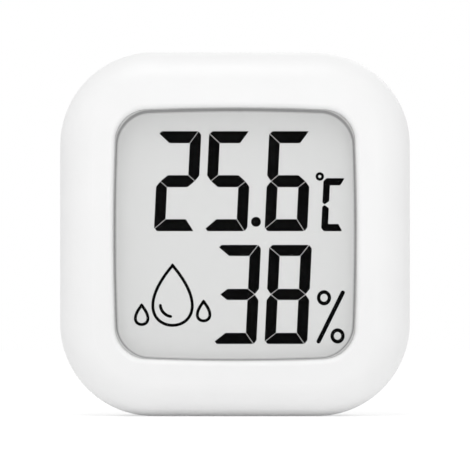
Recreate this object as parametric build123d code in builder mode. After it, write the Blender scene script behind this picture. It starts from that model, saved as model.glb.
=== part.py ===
from build123d import *
from math import sqrt
import os

# A small square room thermometer and hygrometer with a liquid crystal display.
# Millimetres. X runs to the right as seen from the front, Y from the front to the back, Z up.
# The origin is under the middle of the case, on the surface that the case stands on.

# Window in the front of the case. Its sides bow outwards a little.
window_width = 29.9
window_height = 31.05
window_bow = 0.4
window_corner_radius = 4.0
window_lip_radius = 0.55
window_wall = 1.5

# Clear lens, taped behind the window
lens_overlap = 0.9
lens_thickness = 1.0
lens_corner_radius = 2.0
lens_clearance = 0.1
lens_gap = 0.15
tape_width = 0.7
tape_thickness = 0.15

# Display cell: two glasses between polarising films. The front glass has a ledge for its contacts.
glass_overlap = 0.35
glass_thickness = 0.7
glass_ledge = 1.8
glass_corner_cut = 1.0
film_inset = 0.6
film_thickness = 0.2
zebra_width = 1.4
zebra_edge = 0.2
zebra_end_room = 2.3
pad_width = 1.6
pad_length = 20.0

# Case
case_wall = 1.7
case_corner_radius = 11.4
case_end_room = 2.825
crown_radius = 160.0
front_edge_radius = 4.5
back_edge_radius = 1.8
back_wall = 1.6
rear_cover_depth = 3.9
shadow_line = 0.25

# Ribs that place the display, and bosses that carry the board
rib_gap = 0.15
rib_thickness = 0.8
rib_length = 5.0
rib_spacing = 16.0
boss_radius = 1.6
boss_gap = 0.4
boss_merge = 0.1
boss_spacing = 16.0
screw_radius = 0.7
screw_length = 3.2
screw_head_radius = 1.25
screw_head_height = 0.7
screw_recess_width = 0.35
screw_recess_depth = 0.3
screw_fit = 0.02
screw_hole_clearance = 0.1

# Circuit board
board_thickness = 1.0
board_clearance = 0.3
board_edge = 0.9
display_to_board = 1.0
board_to_pocket = 0.95

# Coin cell and its pocket
cell_radius = 10.0
cell_height = 3.2
cell_wall = 0.25
cell_seal = 0.5
cell_step = 0.2
cell_edge_radius = 0.3
cell_clearance = 0.25
cell_seat_gap = 0.05
cell_play = 0.2
pocket_floor = 0.7
cup_wall = 0.9
battery_drop = 2.0

# Battery cover, held by three bayonet lugs
cover_sink = 0.1
cover_thickness = 1.2
cover_overhang = 0.5
cover_gap = 0.12
cover_edge_radius = 0.25
skirt_wall = 0.9
ledge_thickness = 0.9
lug_thickness = 0.8
lug_reach = 0.85
lug_count = 3
lug_arc = 30
lug_entry_arc = 36
turn_to_open = 45
first_entry_angle = 90
running_gap = 0.1
press_boss_radius = 4.0
press_boss_gap = 0.05
coin_radius = 24.0
coin_slot_depth = 0.75
coin_slot_width = 2.0
mark_radius = 0.5
mark_depth = 0.2
mark_margin = 1.2

# Rim where the two halves of the case meet
tongue_length = 1.5
rebate_width = 0.75
rebate_gap = 0.1
bead_radius = 0.3
bead_length = 6.0
bead_sink = 0.05
bead_setback = 0.8
bead_gap = 0.1

# Slots in the back that let the room's air reach the sensor
vent_count = 7
vent_pitch = 2.2
vent_width = 1.0
vent_length = 4.5
vent_margin = 2.2

# Button that swaps the temperature units, and the switch under it
button_radius = 1.7
button_clearance = 0.1
button_travel = 0.3
button_sink = 0.1
button_flange_reach = 0.8
button_flange_thickness = 0.6
button_flange_gap = 0.05
button_dish_radius = 6.0
button_dish_depth = 0.15
button_stem_radius = 0.9
button_angle = 225
button_margin = 0.9
sleeve_wall = 0.7
sleeve_length = 1.6
switch_width = 3.8
switch_plate_thickness = 0.15
switch_floor = 0.35
switch_cavity_radius = 1.35
plunger_radius = 0.8
plunger_stand = 0.45
plunger_foot_reach = 0.4
plunger_foot_thickness = 0.35
plunger_gap = 0.05
dome_thickness = 0.1
dome_rise = 0.22
dome_gap = 0.03
tab_width = 0.8

# Contact springs
strip_thickness = 0.2
strip_bend_radius = 0.3
negative_width = 4.2
negative_slit = 1.0
negative_slit_start = 1.0
negative_foot = 4.0
negative_rise = 4.5
negative_tip = 1.5
negative_tip_drop = 0.5
positive_width = 4.0
positive_foot = 2.4
positive_bulge = 0.63
positive_tip = 0.45
contact_fit = 0.02
contact_room = 0.3

# Parts on the board
chip_radius = 3.2
chip_height = 1.1
sensor_width = 2.5
sensor_height = 0.9
sensor_port_radius = 0.5
sensor_port_depth = 0.3
sensor_slot_width = 0.8
sensor_slot_gap = 0.7
crystal_radius = 1.0
crystal_length = 6.0
crystal_lead_radius = 0.15
crystal_lead_length = 1.6
crystal_lead_spacing = 0.8
chip_part_length = 1.6
chip_part_width = 0.8
capacitor_height = 0.8
resistor_height = 0.45
resistor_count = 3
small_part_pitch = 3.0

# One overrun for all cuts that have to break through a surface
overrun = 1.0

# Sizes that follow from the stack of pieces across the display
lens_width = window_width + 2 * lens_overlap
lens_height = window_height + 2 * lens_overlap
well_width = lens_width + 2 * lens_clearance
well_height = lens_height + 2 * lens_clearance
glass_width = well_width + 2 * glass_overlap
glass_height = well_height + 2 * glass_overlap
front_glass_height = glass_height + glass_ledge
front_glass_drop = glass_ledge / 2
film_width = glass_width - 2 * film_inset
film_height = glass_height - 2 * film_inset

# Bayonet, from the cell outwards
pocket_radius = cell_radius + cell_clearance
skirt_radius = pocket_radius + skirt_wall
ledge_radius = skirt_radius + running_gap
lug_radius = skirt_radius + lug_reach
groove_radius = lug_radius + running_gap
cover_radius = lug_radius + cover_overhang
cover_bore = cover_radius + cover_gap
cup_radius = groove_radius + cup_wall

# The case is as wide and as high as the display in front and the cell, vents and sensor behind need.
# Rises and drops are counted from the middle of the case.
vent_rise = cover_bore - battery_drop + vent_margin + vent_length / 2
sensor_ring = sensor_width + 2 * sensor_slot_gap
sensor_reach = vent_rise + sensor_ring / 2 + sensor_slot_width + board_edge + board_clearance
contact_reach = cup_radius + positive_foot + board_edge + board_clearance
display_reach = glass_height / 2 + rib_gap + rib_thickness + case_end_room
boss_reach = glass_width / 2 + boss_gap + 2 * boss_radius - boss_merge
cavity_width = 2 * max(boss_reach, contact_reach)
cavity_height = 2 * max(display_reach, sensor_reach)
case_width = cavity_width + 2 * case_wall
case_height = cavity_height + 2 * case_wall
middle_z = case_height / 2
battery_z = middle_z - battery_drop

# Sizes that follow from the stack of pieces between the front and the back
display_stack = tape_thickness + lens_thickness + lens_gap + 2 * film_thickness + 2 * glass_thickness
cell_stack = pocket_floor + cell_seat_gap + cell_height + cell_play + cover_thickness + cover_sink
case_depth = (
    window_wall + display_stack + display_to_board + board_thickness + board_to_pocket + cell_stack
)
front_y = -case_depth / 2
back_y = case_depth / 2
seat_y = front_y + window_wall
tape_back_y = seat_y + tape_thickness
lens_back_y = tape_back_y + lens_thickness
front_film_back_y = lens_back_y + lens_gap + film_thickness
shelf_y = front_film_back_y
front_glass_back_y = shelf_y + glass_thickness
rear_glass_back_y = front_glass_back_y + glass_thickness
reflector_back_y = rear_glass_back_y + film_thickness
board_front_y = reflector_back_y + display_to_board
board_back_y = board_front_y + board_thickness
pocket_front_y = board_back_y + board_to_pocket
pocket_back_y = pocket_front_y + pocket_floor
cell_front_y = pocket_back_y + cell_seat_gap
cell_back_y = cell_front_y + cell_height
cover_inner_y = cell_back_y + cell_play
cover_outer_y = cover_inner_y + cover_thickness
inner_back_y = back_y - back_wall
parting_y = back_y - rear_cover_depth
tongue_front_y = parting_y - tongue_length
rebate_front_y = tongue_front_y - rebate_gap
bead_y = parting_y - bead_setback

# Bayonet, from the cover forwards
ledge_back_y = cover_inner_y - running_gap
ledge_front_y = ledge_back_y - ledge_thickness
lug_back_y = ledge_front_y - running_gap
lug_front_y = lug_back_y - lug_thickness
groove_front_y = lug_front_y - running_gap
cup_step_y = groove_front_y - cup_wall

# Dome over the front. Its crest is at the outer edge of the window's lip.
crest_radius = window_width / 2 + window_lip_radius
dome_centre_y = front_y + sqrt(crown_radius**2 - crest_radius**2)
dome_top_y = dome_centre_y - crown_radius

# Button, on a line from the middle of the battery towards a lower corner
sleeve_bore = button_radius + button_flange_reach + button_clearance
sleeve_radius = sleeve_bore + sleeve_wall
button_distance = cup_radius + sleeve_radius + button_margin
button_place = Vector(0, 0).add(Vector(button_distance, 0).rotate(Axis.Z, button_angle))
button_x = button_place.X
button_z = battery_z + button_place.Y
button_back_y = back_y - button_sink
flange_back_y = inner_back_y - button_flange_gap
flange_front_y = flange_back_y - button_flange_thickness
plunger_height = button_travel + plunger_stand
switch_height = (
    switch_floor + dome_rise + dome_gap + button_travel + plunger_foot_thickness + plunger_gap
)
switch_back_y = board_back_y + switch_height
plate_back_y = switch_back_y + switch_plate_thickness
plunger_back_y = plate_back_y + plunger_height
foot_back_y = switch_back_y - plunger_gap
foot_front_y = foot_back_y - plunger_foot_thickness
foot_radius = plunger_radius + plunger_foot_reach

# Places of the screws, the ribs and the parts on the board
boss_x = cavity_width / 2 - boss_radius + boss_merge
rib_x = glass_width / 2 + rib_gap + rib_thickness / 2
top_rib_rise = glass_height / 2 + rib_gap + rib_thickness / 2
bottom_rib_drop = top_rib_rise + glass_ledge
zebra_drop = glass_height / 2 + glass_ledge - zebra_edge - zebra_width / 2
chip_x = -(sensor_ring + small_part_pitch + chip_radius)
chip_z = middle_z + vent_rise
crystal_x = sensor_ring + small_part_pitch + crystal_length / 2
crystal_y = board_back_y + crystal_radius
crystal_z = middle_z + vent_rise
resistor_drop = battery_drop + negative_width + small_part_pitch

# Springs, from the middle of the cell
foot_y = board_back_y + strip_thickness / 2
negative_length = negative_foot + negative_rise + negative_tip
negative_end_x = -negative_length / 2
negative_bend_x = negative_end_x + negative_foot
negative_peak_x = negative_bend_x + negative_rise
negative_tip_x = negative_peak_x + negative_tip
negative_peak_y = cell_front_y - strip_thickness / 2 - contact_fit
positive_inner_x = cell_radius + contact_fit + strip_thickness / 2
positive_outer_x = positive_inner_x + positive_bulge
positive_top_y = groove_front_y - running_gap - strip_thickness / 2
positive_bend_y = (pocket_back_y + positive_top_y) / 2


def across(depth, height=middle_z, side=0):
    """Plane parallel to the display at Y = depth. What is extruded from it grows to the front."""
    return Plane(origin=(side, depth, height), x_dir=(1, 0, 0), z_dir=(0, -1, 0))


def level(height):
    """Horizontal plane at a height, whose own axes are X and Y."""
    return Plane.XY.offset(height)


def case_outline(inset=0):
    """Outline of the case, drawn inset from its outer surface."""
    RectangleRounded(case_width - 2 * inset, case_height - 2 * inset, case_corner_radius - inset)


def window_outline():
    """Outline of the window: four bowed sides with round corners."""
    side_x = window_width / 2
    side_z = window_height / 2
    corner_x = side_x - window_bow
    corner_z = side_z - window_bow
    with BuildLine() as sides:
        ThreePointArc((-corner_x, corner_z), (0, side_z), (corner_x, corner_z))
        ThreePointArc((corner_x, corner_z), (side_x, 0), (corner_x, -corner_z))
        ThreePointArc((corner_x, -corner_z), (0, -side_z), (-corner_x, -corner_z))
        ThreePointArc((-corner_x, -corner_z), (-side_x, 0), (-corner_x, corner_z))
    outline = make_face(sides.edges())
    fillet(outline.vertices(), window_corner_radius)


def ring_sector(inner_radius, outer_radius, middle_angle, arc):
    """Part of a flat ring, centred on an angle."""
    with BuildLine() as sector:
        inner = CenterArc((0, 0), inner_radius, middle_angle - arc / 2, arc)
        outer = CenterArc((0, 0), outer_radius, middle_angle - arc / 2, arc)
        Line(inner @ 0, outer @ 0)
        Line(inner @ 1, outer @ 1)
    make_face(sector.edges())


def cap_sphere_radius(rim_radius, rise):
    """Radius of the sphere whose cap has this rim radius and this rise."""
    return (rim_radius**2 + rise**2) / (2 * rise)


entry_angles = [first_entry_angle + n * 360 / lug_count for n in range(lug_count)]
battery_axis = Axis((0, 0, battery_z), (0, 1, 0))
bead_inset = case_wall - rebate_width + rebate_gap + bead_sink
bead_bars = [
    ((0, bead_y, bead_inset), (0, 90, 0)),
    ((0, bead_y, case_height - bead_inset), (0, 90, 0)),
    ((bead_inset - case_width / 2, bead_y, middle_z), (0, 0, 0)),
    ((case_width / 2 - bead_inset, bead_y, middle_z), (0, 0, 0)),
]


# Front half of the case: a domed tray with the window, the display's ribs and the board's bosses
with BuildPart() as front_housing:
    with BuildSketch(across(parting_y)):
        case_outline()
    extrude(amount=parting_y - dome_top_y + overrun)
    with Locations((0, dome_centre_y, middle_z)):
        Sphere(crown_radius, mode=Mode.INTERSECT)
    fillet(front_housing.faces().sort_by(Axis.Y)[0].edges(), front_edge_radius)

    # room for the display, the board and the tongue of the rear cover
    with BuildSketch(across(parting_y)):
        case_outline(case_wall)
    extrude(amount=parting_y - shelf_y, mode=Mode.SUBTRACT)
    with BuildSketch(across(shelf_y)):
        RectangleRounded(well_width, well_height, lens_corner_radius + lens_clearance)
    extrude(amount=shelf_y - seat_y, mode=Mode.SUBTRACT)
    with BuildSketch(across(parting_y)):
        case_outline(case_wall - rebate_width)
    extrude(amount=parting_y - rebate_front_y, mode=Mode.SUBTRACT)
    for bead_place, bead_turn in bead_bars:
        with Locations(bead_place):
            Cylinder(
                bead_radius + bead_gap,
                bead_length + 2 * bead_gap,
                rotation=bead_turn,
                mode=Mode.SUBTRACT,
            )

    # window with its rounded lip
    with BuildSketch(across(seat_y)):
        window_outline()
    extrude(amount=seat_y - dome_top_y + overrun, mode=Mode.SUBTRACT)
    lip_edges = front_housing.edges(Select.LAST).filter_by(Axis.Y, reverse=True)
    lip_edges = lip_edges.filter_by_position(Axis.Y, dome_top_y, seat_y - window_wall / 2)
    fillet(lip_edges, window_lip_radius)

    # ribs that place the display
    with BuildSketch(across(rear_glass_back_y)):
        with Locations((0, top_rib_rise), (0, -bottom_rib_drop)):
            with GridLocations(rib_spacing, 0, 2, 1):
                Rectangle(rib_length, rib_thickness)
        with GridLocations(2 * rib_x, boss_spacing + 2 * rib_length, 2, 2):
            Rectangle(rib_thickness, rib_length)
    extrude(amount=rear_glass_back_y - shelf_y)

    # bosses that the board is screwed to
    with BuildSketch(across(board_front_y)):
        with GridLocations(2 * boss_x, boss_spacing, 2, 2):
            Circle(boss_radius)
    extrude(amount=board_front_y - shelf_y)
    with BuildSketch(across(board_front_y)):
        with GridLocations(2 * boss_x, boss_spacing, 2, 2):
            Circle(screw_radius + screw_fit)
    extrude(amount=screw_length + screw_hole_clearance, mode=Mode.SUBTRACT)

# Frame of double-sided tape that holds the lens
with BuildPart() as lens_tape:
    with BuildSketch(across(tape_back_y)):
        RectangleRounded(lens_width, lens_height, lens_corner_radius)
        RectangleRounded(
            lens_width - 2 * tape_width,
            lens_height - 2 * tape_width,
            lens_corner_radius - tape_width,
            mode=Mode.SUBTRACT,
        )
    extrude(amount=tape_thickness)

# Clear window lens
with BuildPart() as window_lens:
    with BuildSketch(across(lens_back_y)):
        RectangleRounded(lens_width, lens_height, lens_corner_radius)
    extrude(amount=lens_thickness)

# Display cell: front film, front glass with the contact ledge below, rear glass, reflecting film
with BuildPart() as front_polariser:
    with BuildSketch(across(front_film_back_y)):
        RectangleRounded(film_width, film_height, lens_corner_radius)
    extrude(amount=film_thickness)

with BuildPart() as front_glass:
    with BuildSketch(across(front_glass_back_y)) as front_glass_face:
        with Locations((0, -front_glass_drop)):
            Rectangle(glass_width, front_glass_height)
        chamfer(front_glass_face.vertices().group_by(Axis.Y)[0], glass_corner_cut)
    extrude(amount=glass_thickness)

with BuildPart() as rear_glass:
    with BuildSketch(across(rear_glass_back_y)):
        Rectangle(glass_width, glass_height)
    extrude(amount=glass_thickness)

with BuildPart() as reflector_film:
    with BuildSketch(across(reflector_back_y)):
        RectangleRounded(film_width, film_height, lens_corner_radius)
    extrude(amount=film_thickness)

# Rubber contact strip from the ledge of the front glass to the board
with BuildPart() as zebra_strip:
    with BuildSketch(across(board_front_y)):
        with Locations((0, -zebra_drop)):
            Rectangle(glass_width - 2 * zebra_end_room, zebra_width)
    extrude(amount=board_front_y - front_glass_back_y)

# Foam pad that holds the upper edge of the display forward
with BuildPart() as foam_pad:
    with BuildSketch(across(board_front_y)):
        with Locations((0, glass_height / 2 - film_inset - pad_width / 2)):
            Rectangle(pad_length, pad_width)
    extrude(amount=display_to_board)

# Board, with a slot routed round three sides of the sensor to keep the board's own heat away
with BuildPart() as circuit_board:
    with BuildSketch(across(board_back_y)):
        case_outline(case_wall + board_clearance)
        with GridLocations(2 * boss_x, boss_spacing, 2, 2):
            Circle(screw_radius + screw_hole_clearance, mode=Mode.SUBTRACT)
        with Locations((0, vent_rise)):
            RectangleRounded(
                sensor_ring + 2 * sensor_slot_width,
                sensor_ring + 2 * sensor_slot_width,
                sensor_slot_width,
                mode=Mode.SUBTRACT,
            )
            Rectangle(sensor_ring, sensor_ring)
        with Locations((0, vent_rise + sensor_ring / 2)):
            Rectangle(sensor_ring, 2 * sensor_slot_width)
    extrude(amount=board_thickness)

# Screws that hold the board to the bosses
with BuildPart() as board_screws:
    with BuildSketch(across(board_back_y)):
        with GridLocations(2 * boss_x, boss_spacing, 2, 2):
            Circle(screw_radius)
    extrude(amount=screw_length + board_thickness)
    with BuildSketch(across(board_back_y)):
        with GridLocations(2 * boss_x, boss_spacing, 2, 2):
            Circle(screw_head_radius)
    extrude(amount=-screw_head_height)
    head_rims = board_screws.faces().group_by(Axis.Y)[-1].edges()
    chamfer(head_rims, screw_head_height / 2)
    with BuildSketch(across(board_back_y + screw_head_height)):
        with GridLocations(2 * boss_x, boss_spacing, 2, 2):
            Rectangle(screw_head_radius, screw_recess_width)
            Rectangle(screw_recess_width, screw_head_radius)
    extrude(amount=screw_recess_depth, mode=Mode.SUBTRACT)

# Controller chip under its drop of black resin
with BuildPart() as controller_chip:
    with BuildSketch(level(chip_z)):
        with BuildLine():
            chip_rim = (chip_x + chip_radius, board_back_y)
            chip_top = (chip_x, board_back_y + chip_height)
            Line((chip_x, board_back_y), chip_rim)
            RadiusArc(chip_rim, chip_top, -cap_sphere_radius(chip_radius, chip_height))
            Line(chip_top, (chip_x, board_back_y))
        make_face()
    revolve(axis=Axis((chip_x, 0, chip_z), (0, 1, 0)))

# Temperature and humidity sensor, with the port that its film breathes through
with BuildPart() as humidity_sensor:
    with BuildSketch(across(board_back_y + sensor_height)):
        with Locations((0, vent_rise)):
            Rectangle(sensor_width, sensor_width)
    extrude(amount=sensor_height)
    with BuildSketch(across(board_back_y + sensor_height)):
        with Locations((0, vent_rise)):
            Circle(sensor_port_radius)
    extrude(amount=sensor_port_depth, mode=Mode.SUBTRACT)

# Clock crystal: a small can lying on the board, with its two leads
with BuildPart() as clock_crystal:
    crystal_end = Plane(
        origin=(crystal_x - crystal_length / 2, crystal_y, crystal_z), x_dir=(0, 1, 0), z_dir=(1, 0, 0)
    )
    with BuildSketch(crystal_end):
        Circle(crystal_radius)
    extrude(amount=crystal_length)
    with BuildSketch(crystal_end):
        with GridLocations(0, crystal_lead_spacing, 1, 2):
            Circle(crystal_lead_radius)
    extrude(amount=-crystal_lead_length)

# Small surface-mounted parts: capacitors beside the sensor, resistors under the cell's pocket
with BuildPart() as chip_capacitors:
    with BuildSketch(across(board_back_y + capacitor_height)):
        with Locations((-sensor_ring, vent_rise), (sensor_ring, vent_rise)):
            with GridLocations(0, small_part_pitch, 1, 2):
                Rectangle(chip_part_width, chip_part_length)
    extrude(amount=capacitor_height)

with BuildPart() as chip_resistors:
    with BuildSketch(across(board_back_y + resistor_height)):
        with Locations((0, -resistor_drop)):
            with GridLocations(small_part_pitch, 0, resistor_count, 1):
                Rectangle(chip_part_width, chip_part_length)
    extrude(amount=resistor_height)

# Contact springs, bent from strip. The negative one has two fingers under the middle of the cell.
with BuildPart() as negative_contact:
    with BuildSketch(level(battery_z)):
        with BuildLine():
            FilletPolyline(
                (negative_end_x, foot_y),
                (negative_bend_x, foot_y),
                (negative_peak_x, negative_peak_y),
                (negative_tip_x, negative_peak_y - negative_tip_drop),
                radius=strip_bend_radius,
            )
        trace(line_width=strip_thickness)
    extrude(amount=negative_width / 2, both=True)
    with BuildSketch(across(cell_front_y, battery_z)):
        with Locations((negative_bend_x + negative_slit_start, 0)):
            Rectangle(negative_length, negative_slit, align=(Align.MIN, Align.CENTER))
    extrude(amount=cell_front_y - board_back_y, mode=Mode.SUBTRACT)

# The positive spring bears on the side of the cell's can
with BuildPart() as positive_contact:
    with BuildSketch(level(battery_z)):
        with BuildLine():
            FilletPolyline(
                (positive_outer_x + positive_foot, foot_y),
                (positive_outer_x, foot_y),
                (positive_outer_x, pocket_back_y - strip_thickness),
                (positive_inner_x, positive_bend_y),
                (positive_inner_x + positive_tip, positive_top_y),
                radius=strip_bend_radius,
            )
        trace(line_width=strip_thickness)
    extrude(amount=positive_width / 2, both=True)

# Coin cell: the positive can, the seal, and the negative cap with what it holds
with BuildPart() as cell_can:
    with BuildSketch(level(battery_z)):
        with BuildLine():
            Polyline(
                (0, cell_back_y),
                (cell_radius, cell_back_y),
                (cell_radius, cell_front_y + cell_step),
                (cell_radius - cell_wall, cell_front_y + cell_step),
                (cell_radius - cell_wall, cell_back_y - cell_wall),
                (0, cell_back_y - cell_wall),
                (0, cell_back_y),
            )
        can_section = make_face()
        rim_corner = can_section.vertices().group_by(Axis.Y)[-1].sort_by(Axis.X)[-1]
        fillet(rim_corner, cell_edge_radius)
    revolve(axis=battery_axis)

cap_radius = cell_radius - cell_wall - cell_seal
with BuildPart() as cell_gasket:
    with BuildSketch(level(battery_z)):
        with BuildLine():
            Polyline(
                (cap_radius, cell_front_y + cell_step),
                (cell_radius - cell_wall, cell_front_y + cell_step),
                (cell_radius - cell_wall, cell_back_y - cell_wall),
                (cap_radius, cell_back_y - cell_wall),
                close=True,
            )
        make_face()
    revolve(axis=battery_axis)

with BuildPart() as cell_cap:
    with BuildSketch(level(battery_z)):
        with BuildLine():
            Polyline(
                (0, cell_front_y),
                (cap_radius - cell_step, cell_front_y),
                (cap_radius, cell_front_y + cell_step),
                (cap_radius, cell_back_y - cell_wall),
                (0, cell_back_y - cell_wall),
                close=True,
            )
        make_face()
    revolve(axis=battery_axis)

# Rear cover: a shallow tray with the cell's cup, the bayonet, the vents and the button's sleeve
with BuildPart() as rear_cover:
    with BuildSketch(across(back_y)):
        case_outline()
    extrude(amount=rear_cover_depth)
    fillet(rear_cover.faces().sort_by(Axis.Y)[-1].edges(), back_edge_radius)
    with BuildSketch(across(inner_back_y)):
        case_outline(case_wall)
    extrude(amount=inner_back_y - parting_y, mode=Mode.SUBTRACT)
    with BuildSketch(across(parting_y + shadow_line)):
        case_outline()
        RectangleRounded(
            case_width - 2 * shadow_line,
            case_height - 2 * shadow_line,
            case_corner_radius - shadow_line,
            mode=Mode.SUBTRACT,
        )
    extrude(amount=shadow_line, mode=Mode.SUBTRACT)

    # tongue with the beads that snap into the front housing
    with BuildSketch(across(parting_y)):
        case_outline(case_wall - rebate_width + rebate_gap)
        RectangleRounded(
            cavity_width, cavity_height, case_corner_radius - case_wall, mode=Mode.SUBTRACT
        )
    extrude(amount=tongue_length)
    for bead_place, bead_turn in bead_bars:
        with Locations(bead_place):
            Cylinder(bead_radius, bead_length, rotation=bead_turn)

    # cup that holds the cell
    with BuildSketch(level(battery_z)):
        with BuildLine():
            Polyline(
                (0, pocket_front_y),
                (skirt_radius, pocket_front_y),
                (skirt_radius, cup_step_y),
                (cup_radius, cup_step_y),
                (cup_radius, inner_back_y),
                (0, inner_back_y),
                close=True,
            )
        make_face()
    revolve(axis=battery_axis)
    with BuildSketch(level(battery_z)):
        with BuildLine():
            Polyline(
                (0, pocket_back_y),
                (pocket_radius, pocket_back_y),
                (pocket_radius, groove_front_y),
                (ledge_radius, groove_front_y),
                (ledge_radius, ledge_back_y),
                (cover_bore, ledge_back_y),
                (cover_bore, back_y + overrun),
                (0, back_y + overrun),
                close=True,
            )
        make_face()
    revolve(axis=battery_axis, mode=Mode.SUBTRACT)

    # entries for the lugs, and the grooves that they turn in
    with BuildSketch(across(ledge_back_y, battery_z)):
        for entry_angle in entry_angles:
            ring_sector(pocket_radius, groove_radius, entry_angle, lug_entry_arc)
    extrude(amount=ledge_back_y - groove_front_y, mode=Mode.SUBTRACT)
    with BuildSketch(across(ledge_front_y, battery_z)):
        for entry_angle in entry_angles:
            ring_sector(
                pocket_radius, groove_radius, entry_angle + turn_to_open / 2, turn_to_open + lug_entry_arc
            )
    extrude(amount=ledge_front_y - groove_front_y, mode=Mode.SUBTRACT)

    # openings in the cup for the two contact springs
    with BuildSketch(across(pocket_back_y, battery_z)):
        Rectangle(negative_length + 2 * contact_room, negative_width + 2 * contact_room)
    extrude(amount=pocket_floor, mode=Mode.SUBTRACT)
    with BuildSketch(across(groove_front_y, battery_z)):
        with Locations((cell_radius, 0)):
            Rectangle(
                cup_radius - cell_radius,
                positive_width + 2 * contact_room,
                align=(Align.MIN, Align.CENTER),
            )
    extrude(amount=groove_front_y - pocket_front_y, mode=Mode.SUBTRACT)

    # vents
    with BuildSketch(across(back_y)):
        with Locations((0, vent_rise)):
            with GridLocations(vent_pitch, 0, vent_count, 1):
                SlotOverall(vent_length, vent_width, rotation=90)
    extrude(amount=back_wall, mode=Mode.SUBTRACT)

    # sleeve and hole for the button
    with BuildSketch(across(inner_back_y, button_z, button_x)):
        Circle(sleeve_radius)
    extrude(amount=sleeve_length)
    with BuildSketch(across(inner_back_y, button_z, button_x)):
        Circle(sleeve_bore)
    extrude(amount=sleeve_length, mode=Mode.SUBTRACT)
    with BuildSketch(across(back_y, button_z, button_x)):
        Circle(button_radius + button_clearance)
    extrude(amount=back_wall, mode=Mode.SUBTRACT)

    # sunk marks beside the battery cover, for closed and open
    with BuildSketch(across(back_y, battery_z)):
        for mark_angle in (first_entry_angle, first_entry_angle - turn_to_open):
            with PolarLocations(cover_bore + mark_margin, 1, mark_angle):
                Circle(mark_radius)
    extrude(amount=mark_depth, mode=Mode.SUBTRACT)

# Battery cover with its skirt, lugs, coin slot and the boss that presses on the cell
with BuildPart() as battery_cover:
    with BuildSketch(across(cover_outer_y, battery_z)):
        Circle(cover_radius)
    extrude(amount=cover_thickness)
    fillet(battery_cover.faces().sort_by(Axis.Y)[-1].edges(), cover_edge_radius)
    with BuildSketch(across(cover_inner_y, battery_z)):
        Circle(skirt_radius)
        Circle(pocket_radius, mode=Mode.SUBTRACT)
    extrude(amount=cover_inner_y - lug_front_y)
    with BuildSketch(across(lug_back_y, battery_z)):
        for entry_angle in entry_angles:
            ring_sector(pocket_radius, lug_radius, entry_angle + turn_to_open, lug_arc)
    extrude(amount=lug_thickness)
    with BuildSketch(across(cover_inner_y, battery_z)):
        Circle(press_boss_radius)
    extrude(amount=cell_play - press_boss_gap)
    with BuildSketch(level(battery_z)):
        with Locations((0, cover_outer_y - coin_slot_depth + coin_radius)):
            Circle(coin_radius)
    extrude(amount=coin_slot_width / 2, both=True, mode=Mode.SUBTRACT)
    with BuildSketch(across(cover_outer_y, battery_z)):
        with PolarLocations(cover_radius - mark_margin, 1, first_entry_angle):
            Circle(mark_radius)
    extrude(amount=mark_depth, mode=Mode.SUBTRACT)

# Button: a dished cap with a flange that keeps it in its sleeve, and a stem down to the switch
with BuildPart() as unit_button:
    with BuildSketch(across(button_back_y, button_z, button_x)):
        Circle(button_radius)
    extrude(amount=button_back_y - flange_front_y)
    with BuildSketch(across(flange_back_y, button_z, button_x)):
        Circle(button_radius + button_flange_reach)
    extrude(amount=button_flange_thickness)
    with BuildSketch(across(flange_front_y, button_z, button_x)):
        Circle(button_stem_radius)
    extrude(amount=flange_front_y - plunger_back_y)
    with Locations((button_x, button_back_y - button_dish_depth + button_dish_radius, button_z)):
        Sphere(button_dish_radius, mode=Mode.SUBTRACT)

# Switch: moulded base, snap dome, plunger, and the plate that closes it
with BuildPart() as switch_base:
    with BuildSketch(across(switch_back_y, button_z, button_x)):
        Rectangle(switch_width, switch_width)
    extrude(amount=switch_height)
    with BuildSketch(across(switch_back_y, button_z, button_x)):
        Circle(switch_cavity_radius)
    extrude(amount=switch_height - switch_floor, mode=Mode.SUBTRACT)

dome_rim_y = board_back_y + switch_floor
with BuildPart() as switch_dome:
    with BuildSketch(level(button_z)):
        with BuildLine():
            rim_x = button_x + switch_cavity_radius - contact_fit
            shell_x = rim_x - dome_thickness
            outer_top = (button_x, dome_rim_y + dome_rise)
            inner_top = (button_x, dome_rim_y + dome_rise - dome_thickness)
            Line(outer_top, inner_top)
            RadiusArc(
                inner_top,
                (shell_x, dome_rim_y),
                cap_sphere_radius(shell_x - button_x, dome_rise - dome_thickness),
            )
            Line((shell_x, dome_rim_y), (rim_x, dome_rim_y))
            RadiusArc((rim_x, dome_rim_y), outer_top, -cap_sphere_radius(rim_x - button_x, dome_rise))
        make_face()
    revolve(axis=Axis((button_x, 0, button_z), (0, 1, 0)))

with BuildPart() as switch_plunger:
    with BuildSketch(across(foot_back_y, button_z, button_x)):
        Circle(foot_radius)
    extrude(amount=plunger_foot_thickness)
    with BuildSketch(across(plunger_back_y, button_z, button_x)):
        Circle(plunger_radius)
    extrude(amount=plunger_back_y - foot_front_y)

with BuildPart() as switch_plate:
    with BuildSketch(across(plate_back_y, button_z, button_x)):
        Rectangle(switch_width + 2 * switch_plate_thickness, switch_width)
        Circle(plunger_radius + button_clearance, mode=Mode.SUBTRACT)
    extrude(amount=switch_plate_thickness)
    with BuildSketch(across(switch_back_y, button_z, button_x)):
        with GridLocations(switch_width + switch_plate_thickness, switch_width - tab_width, 2, 2):
            Rectangle(switch_plate_thickness, tab_width)
    extrude(amount=switch_height)

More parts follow.
